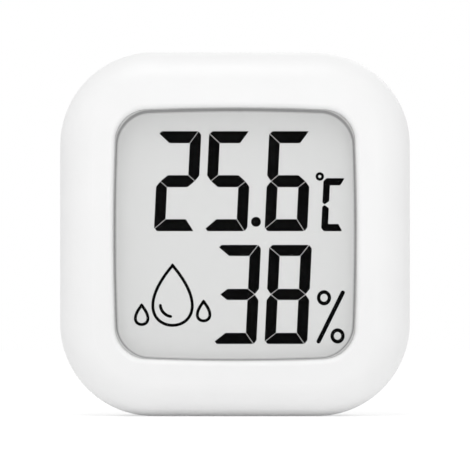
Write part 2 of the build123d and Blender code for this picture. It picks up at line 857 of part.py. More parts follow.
pieces = {
    "front_housing": front_housing,
    "lens_tape": lens_tape,
    "window_lens": window_lens,
    "front_polariser": front_polariser,
    "front_glass": front_glass,
    "rear_glass": rear_glass,
    "reflector_film": reflector_film,
    "zebra_strip": zebra_strip,
    "foam_pad": foam_pad,
    "circuit_board": circuit_board,
    "board_screws": board_screws,
    "controller_chip": controller_chip,
    "humidity_sensor": humidity_sensor,
    "clock_crystal": clock_crystal,
    "chip_capacitors": chip_capacitors,
    "chip_resistors": chip_resistors,
    "negative_contact": negative_contact,
    "positive_contact": positive_contact,
    "cell_can": cell_can,
    "cell_gasket": cell_gasket,
    "cell_cap": cell_cap,
    "rear_cover": rear_cover,
    "battery_cover": battery_cover,
    "unit_button": unit_button,
    "switch_base": switch_base,
    "switch_dome": switch_dome,
    "switch_plunger": switch_plunger,
    "switch_plate": switch_plate,
}
os.makedirs("parts", exist_ok=True)
for name, piece in pieces.items():
    piece.part.label = name
    export_step(piece.part, f"parts/{name}.step")
print(f"case {case_width:.2f} x {case_depth:.2f} x {case_height:.2f} mm, {len(pieces)} pieces")
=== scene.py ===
import math

import bmesh
import bpy
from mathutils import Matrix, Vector


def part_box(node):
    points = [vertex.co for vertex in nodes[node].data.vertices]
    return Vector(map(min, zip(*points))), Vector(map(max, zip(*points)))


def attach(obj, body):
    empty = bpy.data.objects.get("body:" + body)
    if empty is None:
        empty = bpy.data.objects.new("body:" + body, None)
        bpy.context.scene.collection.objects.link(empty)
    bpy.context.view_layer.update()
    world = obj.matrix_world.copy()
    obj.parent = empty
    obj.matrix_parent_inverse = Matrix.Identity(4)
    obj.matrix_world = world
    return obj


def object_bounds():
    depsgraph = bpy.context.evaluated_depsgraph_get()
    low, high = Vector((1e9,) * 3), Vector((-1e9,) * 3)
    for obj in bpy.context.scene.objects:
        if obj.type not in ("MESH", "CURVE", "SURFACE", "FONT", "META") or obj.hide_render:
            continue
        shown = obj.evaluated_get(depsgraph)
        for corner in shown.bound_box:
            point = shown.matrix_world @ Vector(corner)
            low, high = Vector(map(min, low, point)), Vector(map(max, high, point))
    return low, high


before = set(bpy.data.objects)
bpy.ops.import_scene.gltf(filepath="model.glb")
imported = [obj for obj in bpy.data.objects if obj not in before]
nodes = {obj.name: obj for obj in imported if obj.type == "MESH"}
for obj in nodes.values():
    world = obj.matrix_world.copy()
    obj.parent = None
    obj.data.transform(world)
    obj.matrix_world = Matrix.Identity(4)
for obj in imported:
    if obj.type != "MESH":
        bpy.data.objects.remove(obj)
case_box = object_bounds()

bl_info = {
    "name": "Room sensor",
    "version": (1, 0, 0),
    "blender": (4, 5, 0),
    "location": "3D Viewport > Sidebar > Room sensor",
    "description": "Dresses a small room temperature and humidity sensor: case, display, board and cell",
    "category": "Object",
}

lens_low, lens_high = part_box("window_lens")
glass_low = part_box("front_glass")[0]
film_low, film_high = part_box("reflector_film")
cell_low, cell_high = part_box("cell_can")

# Middle of the display, on the front of its glass. The display is drawn across and up from here.
display_middle = Vector(((lens_low.x + lens_high.x) / 2, glass_low.y, (lens_low.z + lens_high.z) / 2))

# Which of the seven segments are dark for the figures 0 to 9: a is the top, then clockwise, g in the middle
FIGURES = ("abcdef", "bc", "abged", "abgcd", "fgbc", "afgcd", "afgcde", "abc", "abcdefg", "abcdfg")

# What all lengths and all colours in the groups below have in common
LENGTH = {"unit": "LENGTH", "precision": 5}
COLOUR = {"size": 3, "subtype": "COLOR", "min": 0.0, "max": 1.0}

# Most of a noise lies between these two values
NOISE_LOW = 0.3
NOISE_HIGH = 0.7

# Distance between the bands of a wave texture at scale 1
WAVE_PITCH = 0.314

WHITE = (1.0, 1.0, 1.0, 1.0)
QUARTER_TURN = math.radians(90)
FILM_WIDTH = 36.0  # millimetres


# Sizes and colours that the panel shows


class SensorReading(bpy.types.PropertyGroup):
    temperature: bpy.props.FloatProperty(
        name="Temperature",
        description="Degrees Celsius shown in the upper row, with one decimal",
        default=25.6, min=0.0, max=99.9,
    )
    humidity: bpy.props.IntProperty(
        name="Humidity",
        description="Relative humidity shown in the lower row, in percent",
        default=38, min=0, max=99,
    )
    figure_width: bpy.props.FloatProperty(
        name="Figure width",
        description="Width of one figure across its dark segments",
        default=0.005235, **LENGTH,
    )
    figure_heights: bpy.props.FloatVectorProperty(
        name="Figure heights",
        description="Height of a figure in the upper and in the lower row",
        default=(0.01225, 0.01214), size=2, **LENGTH,
    )
    upright_width: bpy.props.FloatProperty(
        name="Upright segment",
        description="Width of the upright segments",
        default=0.001345, **LENGTH,
    )
    level_widths: bpy.props.FloatVectorProperty(
        name="Level segments",
        description="Width of the level segments in the upper and in the lower row",
        default=(0.001455, 0.00135), size=2, **LENGTH,
    )
    segment_gap: bpy.props.FloatProperty(
        name="Gap",
        description="Gap between two segments",
        default=0.000065, **LENGTH,
    )
    corner_cut: bpy.props.FloatProperty(
        name="Corner cut",
        description="How far the outer corners of a figure are cut off",
        default=0.00042, **LENGTH,
    )
    waist_cut: bpy.props.FloatProperty(
        name="Waist notch",
        description="How deep the notch at a figure's waist is",
        default=0.0005, **LENGTH,
    )
    waist_room: bpy.props.FloatProperty(
        name="Waist half opening",
        description="Half the opening of the notch at a figure's waist",
        default=0.00069, **LENGTH,
    )
    slant: bpy.props.FloatProperty(
        name="Slant",
        description="How far the figures lean to the right",
        default=math.radians(2.75), subtype="ANGLE",
    )
    segment_rounding: bpy.props.FloatProperty(
        name="Corner rounding",
        description="Radius of the corners of a segment",
        default=0.00005, **LENGTH,
    )
    layer_thickness: bpy.props.FloatProperty(
        name="Layer thickness",
        description="Thickness of the display's grey layer and of a dark segment on it",
        default=0.00002, **LENGTH,
    )
    row_rises: bpy.props.FloatVectorProperty(
        name="Rows",
        description="Height of the upper and of the lower row's middle above the display's middle",
        default=(0.006512, -0.00738), size=2, **LENGTH,
    )
    upper_places: bpy.props.FloatVectorProperty(
        name="Upper figures",
        description="Places across of the three figures in the upper row",
        default=(-0.007035, -0.000832, 0.006532), size=3, **LENGTH,
    )
    lower_places: bpy.props.FloatVectorProperty(
        name="Lower figures",
        description="Places across of the two figures in the lower row",
        default=(0.00029, 0.006527), size=2, **LENGTH,
    )


# The signs' places are across and up from the display's middle
class SensorSigns(bpy.types.PropertyGroup):
    point_place: bpy.props.FloatVectorProperty(
        name="Decimal point",
        description="Place of the decimal point",
        default=(0.002575, 0.00153), size=2, **LENGTH,
    )
    point_radius: bpy.props.FloatProperty(
        name="Point radius",
        description="Radius of the decimal point",
        default=0.0006, **LENGTH,
    )
    degree_place: bpy.props.FloatVectorProperty(
        name="Degree sign",
        description="Place of the degree sign",
        default=(0.0104, 0.00709), size=2, **LENGTH,
    )
    degree_radii: bpy.props.FloatVectorProperty(
        name="Degree radii",
        description="Outer and inner radius of the degree sign",
        default=(0.00052, 0.00019), size=2, **LENGTH,
    )
    celsius_place: bpy.props.FloatVectorProperty(
        name="C",
        description="Place of the C's middle",
        default=(0.01216, 0.00363), size=2, **LENGTH,
    )
    celsius_size: bpy.props.FloatVectorProperty(
        name="C size",
        description="Width and height of the C",
        default=(0.0029, 0.0065), size=2, **LENGTH,
    )
    celsius_lines: bpy.props.FloatVectorProperty(
        name="C lines",
        description="Width of the C's upright and of its level lines",
        default=(0.00082, 0.000875), size=2, **LENGTH,
    )
    percent_rings: bpy.props.FloatVectorProperty(
        name="Percent rings",
        description="Places of the percent sign's upper and lower ring",
        default=(0.01092, -0.00779, 0.01258, -0.01247), size=4, **LENGTH,
    )
    percent_radii: bpy.props.FloatVectorProperty(
        name="Percent radii",
        description="Outer and inner half width of the percent sign's rings",
        default=(0.00087, 0.00045), size=2, **LENGTH,
    )
    percent_stretch: bpy.props.FloatProperty(
        name="Percent stretch",
        description="Height of the percent sign's rings as a share of their width",
        default=1.07,
    )
    slash_ends: bpy.props.FloatVectorProperty(
        name="Percent line",
        description="Lower and upper end of the percent sign's line",
        default=(0.010254, -0.013139, 0.013224, -0.007153), size=4, **LENGTH,
    )
    slash_width: bpy.props.FloatProperty(
        name="Percent line width",
        description="Width of the percent sign's line",
        default=0.00052, **LENGTH,
    )
    symbol_line: bpy.props.FloatProperty(
        name="Symbol line",
        description="Width of the line that the water drops are drawn with",
        default=0.00036, **LENGTH,
    )
    large_drop: bpy.props.FloatVectorProperty(
        name="Large drop",
        description="Place, width and height of the large water drop",
        default=(-0.00766, -0.00745, 0.0052, 0.0078), size=4, **LENGTH,
    )
    left_drop: bpy.props.FloatVectorProperty(
        name="Left drop",
        description="Place, width and height of the left water drop",
        default=(-0.01145, -0.00985, 0.0019, 0.0028), size=4, **LENGTH,
    )
    right_drop: bpy.props.FloatVectorProperty(
        name="Right drop",
        description="Place, width and height of the right water drop",
        default=(-0.00385, -0.0094, 0.0019, 0.0028), size=4, **LENGTH,
    )
    shine_drop: bpy.props.FloatProperty(
        name="Shine",
        description="Depth of the shine's centre below the middle of the large water drop",
        default=0.00115, **LENGTH,
    )
    shine_radius: bpy.props.FloatProperty(
        name="Shine radius",
        description="Radius of the shine, an arc inside the large water drop",
        default=0.0015, **LENGTH,
    )
    shine_angles: bpy.props.FloatVectorProperty(
        name="Shine angles",
        description="Where the shine starts and ends, anticlockwise from the right",
        default=(math.radians(185), math.radians(261)), size=2, unit="ROTATION",
    )


class SensorWindow(bpy.types.PropertyGroup):
    lens_overlap: bpy.props.FloatProperty(
        name="Lens overlap",
        description="How far the lens reaches behind the edge of the window",
        default=0.0009, **LENGTH,
    )
    bow: bpy.props.FloatProperty(
        name="Window bow",
        description="How far the window's sides bow outwards",
        default=0.0004, **LENGTH,
    )
    corner_radius: bpy.props.FloatProperty(
        name="Window corner",
        description="Radius of the window's corners",
        default=0.004, **LENGTH,
    )
    # Painted shade: a light grey band on the lens, next to the window's edge, stands in for the shade on the
    # window's rounded lip.
    lip_shade_width: bpy.props.FloatProperty(
        name="Lens margin",
        description="Width of the light grey margin of the lens next to the edge of the window",
        default=0.00012, **LENGTH,
    )
    # Painted shadow: a dark grey line on the lens stands in for the shadow in the gap at the window's edge.
    border_width: bpy.props.FloatProperty(
        name="Lens border",
        description="Width of the grey line printed inside that margin",
        default=0.00022, **LENGTH,
    )
    # Painted shade: the line's inner edge sits lower, so the painted shadow is wider at the top, where light
    # falls from above, and narrower at the bottom.
    shadow_line_drop: bpy.props.FloatProperty(
        name="Border drop",
        description="How far the clear part of the lens sits below the middle of the window",
        default=0.00012, **LENGTH,
    )
    # Painted shadow: a lighter grey line inside the dark one, where the painted shadow fades out onto the
    # display.
    shadow_fade_width: bpy.props.FloatProperty(
        name="Border fade",
        description="Width of the lighter line that the printed line fades into",
        default=0.00014, **LENGTH,
    )
    # The light grey band of painted shade starts this far behind the window's edge, out of sight.
    shade_rim: bpy.props.FloatProperty(
        name="Hidden border",
        description="How far the printed line reaches behind the edge of the window",
        default=0.00012, **LENGTH,
    )


class SensorFinish(bpy.types.PropertyGroup):
    case_colour: bpy.props.FloatVectorProperty(
        name="Case",
        description="Colour of the moulded case",
        default=(0.92, 0.92, 0.92), **COLOUR,
    )
    button_colour: bpy.props.FloatVectorProperty(
        name="Button",
        description="Colour of the button on the back",
        default=(0.74, 0.75, 0.76), **COLOUR,
    )
    ground_colour: bpy.props.FloatVectorProperty(
        name="Display ground",
        description="Colour of the display where nothing is shown",
        default=(0.755, 0.755, 0.755), **COLOUR,
    )
    # Painted shadow: colour of the dark line on the lens that stands in for the shadow in the gap at the
    # window's edge.
    shadow_line_colour: bpy.props.FloatVectorProperty(
        name="Lens border",
        description="Colour of the line printed round the lens",
        default=(0.28, 0.28, 0.28), **COLOUR,
    )
    # Painted shade: colour of the light grey bands on the lens, for the shade on the window's lip and for the
    # fading edge of the painted shadow.
    light_shade_colour: bpy.props.FloatVectorProperty(
        name="Lens margin",
        description="Colour of the lens margin and of the line that the border fades into",
        default=(0.58, 0.58, 0.58), **COLOUR,
    )
    segment_colour: bpy.props.FloatVectorProperty(
        name="Dark segment",
        description="Colour of the segments that are switched on",
        default=(0.0026, 0.0026, 0.0027), **COLOUR,
    )
    board_colour: bpy.props.FloatVectorProperty(
        name="Board",
        description="Colour of the circuit board's solder mask",
        default=(0.02, 0.2, 0.07), **COLOUR,
    )


class SensorStage(bpy.types.PropertyGroup):
    lens_length: bpy.props.FloatProperty(
        name="Lens",
        description="Focal length of the camera in millimetres",
        default=500.0, min=20.0,
    )
    frame_width: bpy.props.FloatProperty(
        name="Frame width",
        description="Width that the camera sees at the widest part of the case",
        default=0.05791, **LENGTH,
    )
    camera_height: bpy.props.FloatProperty(
        name="Camera height",
        description="Height of the camera above the floor",
        default=0.02226, **LENGTH,
    )
    key_power: bpy.props.FloatProperty(
        name="Key lamp",
        description="Power of the large soft lamp high above and in front",
        default=0.7, unit="POWER",
    )
    front_power: bpy.props.FloatProperty(
        name="Front lamp",
        description="Power of the large soft lamp that faces the display",
        default=0.61, unit="POWER",
    )
    back_power: bpy.props.FloatProperty(
        name="Back lamp",
        description="Power of the weak soft lamp above and behind",
        default=0.2, unit="POWER",
    )
    key_place: bpy.props.FloatVectorProperty(
        name="Key lamp's place",
        description="Place of the lamp high above and in front",
        default=(-0.05, -0.24, 0.54), size=3, **LENGTH,
    )
    front_place: bpy.props.FloatVectorProperty(
        name="Front lamp's place",
        description="Place of the lamp that faces the display",
        default=(0.05, -0.56, 0.04), size=3, **LENGTH,
    )
    back_place: bpy.props.FloatVectorProperty(
        name="Back lamp's place",
        description="Place of the lamp above and behind",
        default=(0.15, 0.5, 0.3), size=3, **LENGTH,
    )
    lamp_size: bpy.props.FloatProperty(
        name="Lamp size",
        description="Side of each square lamp",
        default=0.3, **LENGTH,
    )
    room_light: bpy.props.FloatProperty(
        name="Room light",
        description="Strength of the even light from all around",
        default=0.69,
    )
    floor_colour: bpy.props.FloatVectorProperty(
        name="Floor",
        description="Colour of the floor as it lights the sensor",
        default=(0.97, 0.97, 0.97), **COLOUR,
    )
    floor_radius: bpy.props.FloatProperty(
        name="Floor radius",
        description="Radius of the floor",
        default=0.45, **LENGTH,
    )
    floor_glow: bpy.props.FloatProperty(
        name="Floor glow",
        description="How much of its own light the floor shows to the camera",
        default=0.6,
    )
    floor_shade: bpy.props.FloatVectorProperty(
        name="Floor shade",
        description="Colour that takes the sensor's shadow on the floor, as the camera sees it",
        default=(0.52, 0.52, 0.52), **COLOUR,
    )


# Finishes


def start_finish(name, colour, roughness, metallic=0.0):
    """A new material and its shader, with the plain values set on the shader."""
    finish = bpy.data.materials.new(name)
    finish.use_nodes = True
    shader = finish.node_tree.nodes["Principled BSDF"]
    shader.inputs["Base Color"].default_value = (*colour, 1.0)
    shader.inputs["Roughness"].default_value = roughness
    shader.inputs["Metallic"].default_value = metallic
    finish.diffuse_color = (*colour, 1.0)
    return finish, shader


def place_on(tree, pattern, **mapping):
    """Fixes a pattern to its piece. The mapping may move, turn or stretch it."""
    place = tree.nodes.new("ShaderNodeTexCoord")
    mapped = tree.nodes.new("ShaderNodeMapping")
    for socket, value in mapping.items():
        mapped.inputs[socket].default_value = value
    tree.links.new(place.outputs["Object"], mapped.inputs["Vector"])
    tree.links.new(mapped.outputs["Vector"], pattern.inputs["Vector"])


def mottle(finish, patch, detail=2.0, stretch=(1.0, 1.0, 1.0)):
    """Noise with patches of about this size."""
    tree = finish.node_tree
    noise = tree.nodes.new("ShaderNodeTexNoise")
    noise.inputs["Scale"].default_value = 1.0 / patch
    noise.inputs["Detail"].default_value = detail
    place_on(tree, noise, Scale=stretch)
    return noise.outputs["Fac"]


def vary_colour(shader, pattern, dark, light):
    """Lets the colour wander between two tones."""
    tree = shader.id_data
    tones = tree.nodes.new("ShaderNodeValToRGB")
    tones.color_ramp.elements[0].position = NOISE_LOW
    tones.color_ramp.elements[0].color = (*dark, 1.0)
    tones.color_ramp.elements[1].position = NOISE_HIGH
    tones.color_ramp.elements[1].color = (*light, 1.0)
    tree.links.new(pattern, tones.inputs["Fac"])
    tree.links.new(tones.outputs["Color"], shader.inputs["Base Color"])


def vary_gloss(shader, pattern, smooth, rough):
    """Lets the roughness wander between two values."""
    tree = shader.id_data
    limits = tree.nodes.new("ShaderNodeMapRange")
    limits.inputs["From Min"].default_value = NOISE_LOW
    limits.inputs["From Max"].default_value = NOISE_HIGH
    limits.inputs["To Min"].default_value = smooth
    limits.inputs["To Max"].default_value = rough
    tree.links.new(pattern, limits.inputs["Value"])
    tree.links.new(limits.outputs["Result"], shader.inputs["Roughness"])


def raise_grain(shader, pattern, depth):
    """Gives the surface a relief of this depth."""
    tree = shader.id_data
    relief = tree.nodes.new("ShaderNodeBump")
    relief.inputs["Strength"].default_value = 1.0
    relief.inputs["Distance"].default_value = depth
    tree.links.new(pattern, relief.inputs["Height"])
    tree.links.new(relief.outputs["Normal"], shader.inputs["Normal"])


def reckon(tree, operation, first, second):
    """Works out one value from two. Each is a number or comes from another node."""
    outcome = tree.nodes.new("ShaderNodeMath")
    outcome.operation = operation
    for socket, value in zip(outcome.inputs, (first, second)):
        if isinstance(value, float):
            socket.default_value = value
        else:
            tree.links.new(value, socket)
    return outcome.outputs["Value"]


def mix_shaders(tree, share, first, second, output):
    """Goes from the first shader to the second as the share goes from nothing to one."""
    both = tree.nodes.new("ShaderNodeMixShader")
    tree.links.new(share, both.inputs["Fac"])
    tree.links.new(first, both.inputs[1])
    tree.links.new(second, both.inputs[2])
    tree.links.new(both.outputs["Shader"], tree.nodes[output].inputs["Surface"])


def shade(colour, share):
    """The colour made darker or lighter by a share."""
    return tuple(min(1.0, channel * share) for channel in colour)


def moulded_plastic(name, colour, roughness=0.42, texture=0.00022, depth=0.0000012):
    """Moulded plastic: an even colour, a fine spark-eroded texture and slightly uneven gloss."""
    finish, shader = start_finish(name, colour, roughness)
    vary_colour(shader, mottle(finish, patch=0.006), shade(colour, 0.992), shade(colour, 1.008))
    vary_gloss(shader, mottle(finish, patch=0.0012), roughness - 0.05, roughness + 0.05)
    raise_grain(shader, mottle(finish, texture), depth)
    shader.inputs["IOR"].default_value = 1.5
    return finish


def clear_pane(name, tint, index, roughness):
    """A clear pane that lets light straight through. Its front face mirrors a little of the room."""
    finish, shader = start_finish(name, tint, roughness)
    tree = finish.node_tree
    tree.nodes.remove(shader)
    through = tree.nodes.new("ShaderNodeBsdfTransparent")
    through.inputs["Color"].default_value = (*tint, 1.0)
    mirror = tree.nodes.new("ShaderNodeBsdfGlossy")
    mirror.inputs["Color"].default_value = WHITE
    vary_gloss(mirror, mottle(finish, patch=0.004), roughness, roughness + 0.04)
    edge_on = tree.nodes.new("ShaderNodeFresnel")
    edge_on.inputs["IOR"].default_value = index
    side = tree.nodes.new("ShaderNodeNewGeometry")
    facing = reckon(tree, "SUBTRACT", 1.0, side.outputs["Backfacing"])
    share = reckon(tree, "MULTIPLY", edge_on.outputs["Fac"], facing)
    mix_shaders(tree, share, through.outputs["BSDF"], mirror.outputs["BSDF"], "Material Output")
    return finish


def rolled_metal(name, colour, roughness, stretch=(0.08, 1.0, 1.0), depth=0.000002):
    """Rolled or brushed metal with fine lines along one direction."""
    finish, shader = start_finish(name, colour, roughness, metallic=1.0)
    lines = mottle(finish, patch=0.00012, detail=3.0, stretch=stretch)
    vary_colour(shader, mottle(finish, patch=0.003), shade(colour, 0.94), shade(colour, 1.05))
    vary_gloss(shader, lines, roughness - 0.07, roughness + 0.1)
    raise_grain(shader, lines, depth)
    return finish


def turned_metal(name, colour, roughness, centre, depth=0.000001):
    """Drawn sheet metal with faint rings round its middle."""
    finish, shader = start_finish(name, colour, roughness, metallic=1.0)
    rings = finish.node_tree.nodes.new("ShaderNodeTexWave")
    rings.wave_type = "RINGS"
    rings.rings_direction = "Y"
    rings.inputs["Scale"].default_value = 900.0
    rings.inputs["Distortion"].default_value = 1.5
    rings.inputs["Detail"].default_value = 2.0
    place_on(finish.node_tree, rings, Location=(-centre.x, 0.0, -centre.z))
    vary_colour(shader, mottle(finish, patch=0.004), shade(colour, 0.95), shade(colour, 1.04))
    vary_gloss(shader, rings.outputs["Fac"], roughness - 0.05, roughness + 0.07)
    raise_grain(shader, rings.outputs["Fac"], depth)
    return finish


def dull_body(name, colour, roughness, patch, depth, spread=0.12):
    """A dull body such as resin, ceramic, rubber, foam or tape, with its own grain."""
    finish, shader = start_finish(name, colour, roughness)
    grain = mottle(finish, patch, detail=4.0)
    vary_colour(shader, grain, shade(colour, 1.0 - spread), shade(colour, 1.0 + spread))
    vary_gloss(shader, grain, roughness - 0.08, roughness + 0.08)
    raise_grain(shader, grain, depth)
    return finish


def striped_rubber(name, dark, light, pitch):
    """Silicone rubber with carbon layers side by side."""
    finish, shader = start_finish(name, dark, 0.6)
    layers = finish.node_tree.nodes.new("ShaderNodeTexWave")
    layers.wave_type = "BANDS"
    layers.bands_direction = "X"
    layers.inputs["Scale"].default_value = WAVE_PITCH / pitch
    place_on(finish.node_tree, layers)
    vary_colour(shader, layers.outputs["Fac"], dark, light)
    vary_gloss(shader, mottle(finish, patch=0.0004), smooth=0.5, rough=0.7)
    return finish


def masked_board(name, colour):
    """Solder mask over copper tracks: the tracks stand a little proud and look lighter."""
    finish, shader = start_finish(name, colour, 0.35)
    tracks = finish.node_tree.nodes.new("ShaderNodeTexBrick")
    tracks.inputs["Scale"].default_value = 1.0
    tracks.inputs["Brick Width"].default_value = 0.0052
    tracks.inputs["Row Height"].default_value = 0.0013
    tracks.inputs["Mortar Size"].default_value = 0.00014
    tracks.inputs["Mortar Smooth"].default_value = 0.3
    place_on(finish.node_tree, tracks, Rotation=(QUARTER_TURN, 0.0, 0.0))
    vary_colour(shader, tracks.outputs["Fac"], colour, shade(colour, 1.7))
    vary_gloss(shader, mottle(finish, patch=0.0008), smooth=0.28, rough=0.42)
    raise_grain(shader, tracks.outputs["Fac"], depth=0.00002)
    return finish


def let_light_in(*pieces):
    """Lets the light of the lamps and the room pass, so that these pieces throw no shadow."""
    for piece in pieces:
        piece.visible_shadow = False
        piece.visible_diffuse = False


def paint(finish, *names):
    """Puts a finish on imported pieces, through their material slots."""
    for name in names:
        for slot in nodes[name].material_slots:
            slot.link = "OBJECT"
            slot.material = finish


# Outlines and pieces


def inset(outline, amount):
    """An outline, given anticlockwise, drawn inwards by an amount."""
    straight = 1e-6
    count = len(outline)
    drawn = []
    for here in range(count):
        last = outline[here - 1]
        this = outline[here]
        after = outline[(here + 1) % count]
        first = (this - last).normalized()
        second = (after - this).normalized()
        start = last + Vector((-first.y, first.x)) * amount
        end = this + Vector((-second.y, second.x)) * amount
        turn = first.x * second.y - first.y * second.x
        if abs(turn) < straight:
            drawn.append(this + Vector((-first.y, first.x)) * amount)
            continue
        reach = ((end.x - start.x) * second.y - (end.y - start.y) * second.x) / turn
        drawn.append(start + first * reach)
    return drawn


def soften(outline, radius, steps=5):
    """An outline whose corners are rounded to a radius, as far as its sides have room."""
    straight = math.radians(88)
    room_share = 0.45
    count = len(outline)
    drawn = []
    for here in range(count):
        this = outline[here]
        before = outline[here - 1] - this
        after = outline[(here + 1) % count] - this
        half = before.angle(after) / 2
        if half > straight:
            drawn.append(this)
            continue
        room = room_share * min(before.length, after.length)
        trim = min(radius / math.tan(half), room)
        bend = trim * math.tan(half)
        inwards = (before.normalized() + after.normalized()).normalized()
        centre = this + inwards * (bend / math.sin(half))
        first = this + before.normalized() * trim - centre
        second = this + after.normalized() * trim - centre
        sweep = math.atan2(first.x * second.y - first.y * second.x, first.dot(second))
        for step in range(steps + 1):
            angle = sweep * step / steps
            turned = Vector((
                first.x * math.cos(angle) - first.y * math.sin(angle),
                first.x * math.sin(angle) + first.y * math.cos(angle),
            ))
            drawn.append(centre + turned)
    return drawn


def arc(centre, radius, first, last, steps):
    """Points along an arc with both its ends, anticlockwise from the first angle to the last."""
    angles = [first + (last - first) * step / steps for step in range(steps + 1)]
    return [centre + radius * Vector((math.cos(angle), math.sin(angle))) for angle in angles]


def window_outline(window, shrink, steps=16):
    """Outline of the window, anticlockwise, drawn inwards by an amount: bowed sides and round corners."""
    bow = window.bow
    inwards = window.lens_overlap + bow + shrink
    lens_half = (lens_high - lens_low) / 2
    half = Vector((lens_half.x - inwards, lens_half.z - inwards))
    radius = window.corner_radius - shrink
    drawn = []
    for corner in range(4):
        side = Vector((1 if corner in (0, 3) else -1, 1 if corner < 2 else -1))
        centre = Vector((side.x * (half.x - radius), side.y * (half.y - radius)))
        drawn += arc(centre, radius, QUARTER_TURN * corner, QUARTER_TURN * (corner + 1), steps)
        start = drawn[-1]
        heading = QUARTER_TURN * (corner + 2)
        length = 2 * (half.x if corner % 2 == 0 else half.y) - 2 * radius
        way = length * Vector((math.cos(heading), math.sin(heading)))
        drawn += [start + way * step / steps for step in range(1, steps)]
    return [
        Vector((
            point.x * (1 + bow * (1 - (point.y / half.y) ** 2) / half.x),
            point.y * (1 + bow * (1 - (point.x / half.x) ** 2) / half.y),
        ))
        for point in drawn
    ]


def circle(centre, radius, stretch=1.0, steps=64):
    """Points round a circle, or round an oval that is higher than wide, anticlockwise."""
    across, up = centre
    angles = [math.tau * step / steps for step in range(steps)]
    return [
        Vector((across + radius * math.cos(angle), up + radius * stretch * math.sin(angle)))
        for angle in angles
    ]


def round_end(end, ahead, half, steps=10):
    """Points round the end of a line that heads ahead, from its right to its left. Half is half its width."""
    side = Vector((ahead.y, -ahead.x))
    angles = [math.pi * step / steps for step in range(1, steps)]
    return [end + (ahead * math.sin(angle) + side * math.cos(angle)) * half for angle in angles]


def stroke(line, width):
    """Outline of a line of points drawn with a round pen."""
    half = width / 2
    left = []
    right = []
    for here, point in enumerate(line):
        ahead = line[min(here + 1, len(line) - 1)] - line[max(here - 1, 0)]
        across = Vector((-ahead.y, ahead.x)).normalized() * half
        left.append(point + across)
        right.append(point - across)
    tip = round_end(line[-1], (line[-1] - line[-2]).normalized(), half)
    tail = round_end(line[0], (line[0] - line[1]).normalized(), half)
    return right + tip + left[::-1] + tail


def drop_outline(width, height, steps=72):
    """Outline of a water drop round the middle of its height, point up, anticlockwise."""
    half = height / 2
    widest_share = 4 / (3 * math.sqrt(3))
    reach = width / 2 / widest_share
    angles = [math.tau * step / steps for step in range(steps)]
    return [
        Vector((-reach * math.sin(angle) * math.sin(angle / 2), half * math.cos(angle)))
        for angle in angles
    ]


def figure_segments(reading, height, level):
    """Outlines of a figure's seven segments round the middle of the figure, before it leans."""
    mitre_share = 0.2
    right_cut_shares = (0.85, 1.15)
    gap = reading.segment_gap
    corner = reading.corner_cut
    waist = reading.waist_cut
    room = reading.waist_room
    wide = reading.figure_width + gap
    tall = height + gap
    up = reading.upright_width + gap
    across = level + gap
    side = wide / 2
    top = tall / 2
    left_mitre = Vector((-side + mitre_share * corner, top - (1.0 - mitre_share) * corner))
    right_mitre = Vector((side - right_cut_shares[0] * corner, top))
    left_inner = Vector((-side + up, top - across))
    right_inner = Vector((side - up, top - across))
    left_waist = Vector((-side + waist, 0.0))
    right_waist = Vector((side - waist, 0.0))
    left_bar = Vector((-side + up, across / 2))
    right_bar = Vector((side - up, across / 2))
    upper = {
        "a": [left_mitre, left_inner, right_inner, right_mitre, Vector((-side + corner, top))],
        "f": [
            left_mitre,
            Vector((-side, top - corner)),
            Vector((-side, room)),
            left_waist,
            left_bar,
            left_inner,
        ],
        "b": [
            right_mitre,
            right_inner,
            right_bar,
            right_waist,
            Vector((side, room)),
            Vector((side, top - right_cut_shares[1] * corner)),
        ],
    }
    drawn = dict(upper)
    for lower, like in (("d", "a"), ("e", "f"), ("c", "b")):
        drawn[lower] = [Vector((point.x, -point.y)) for point in reversed(upper[like])]
    drawn["g"] = [
        left_waist,
        Vector((-side + up, -across / 2)),
        Vector((side - up, -across / 2)),
        right_waist,
        right_bar,
        left_bar,
    ]
    return {
        name: soften(inset(outline, gap / 2), reading.segment_rounding) for name, outline in drawn.items()
    }


def celsius_half(width, height, upright, level):
    """Outline of the upper half of the C round the C's middle, before it leans, anticlockwise."""
    corner_share = 0.128
    end_share = 0.103
    slope_share = 0.6
    waist_share = 0.01
    tip_share = 0.34
    outer_rise_share = 0.3
    inner_rise_share = 0.5
    side = width / 2
    top = height / 2
    corner = corner_share * width
    slope = slope_share * level
    free_end = side - end_share * width
    waist = waist_share * top
    return [
        Vector((-side + corner, top)),
        Vector((-side, top - corner)),
        Vector((-side, waist + outer_rise_share * upright)),
        Vector((-side + tip_share * upright, waist)),
        Vector((-side + upright, waist + inner_rise_share * upright)),
        Vector((-side + upright, top - level)),
        Vector((free_end - slope, top - level)),
        Vector((free_end, top)),
    ]


def lean(outline, slant):
    """An outline that leans to the right about the level through its middle."""
    return [Vector((point.x + point.y * math.tan(slant), point.y)) for point in outline]


def move(outline, across, up):
    """An outline moved across and up."""
    return [Vector((point.x + across, point.y + up)) for point in outline]


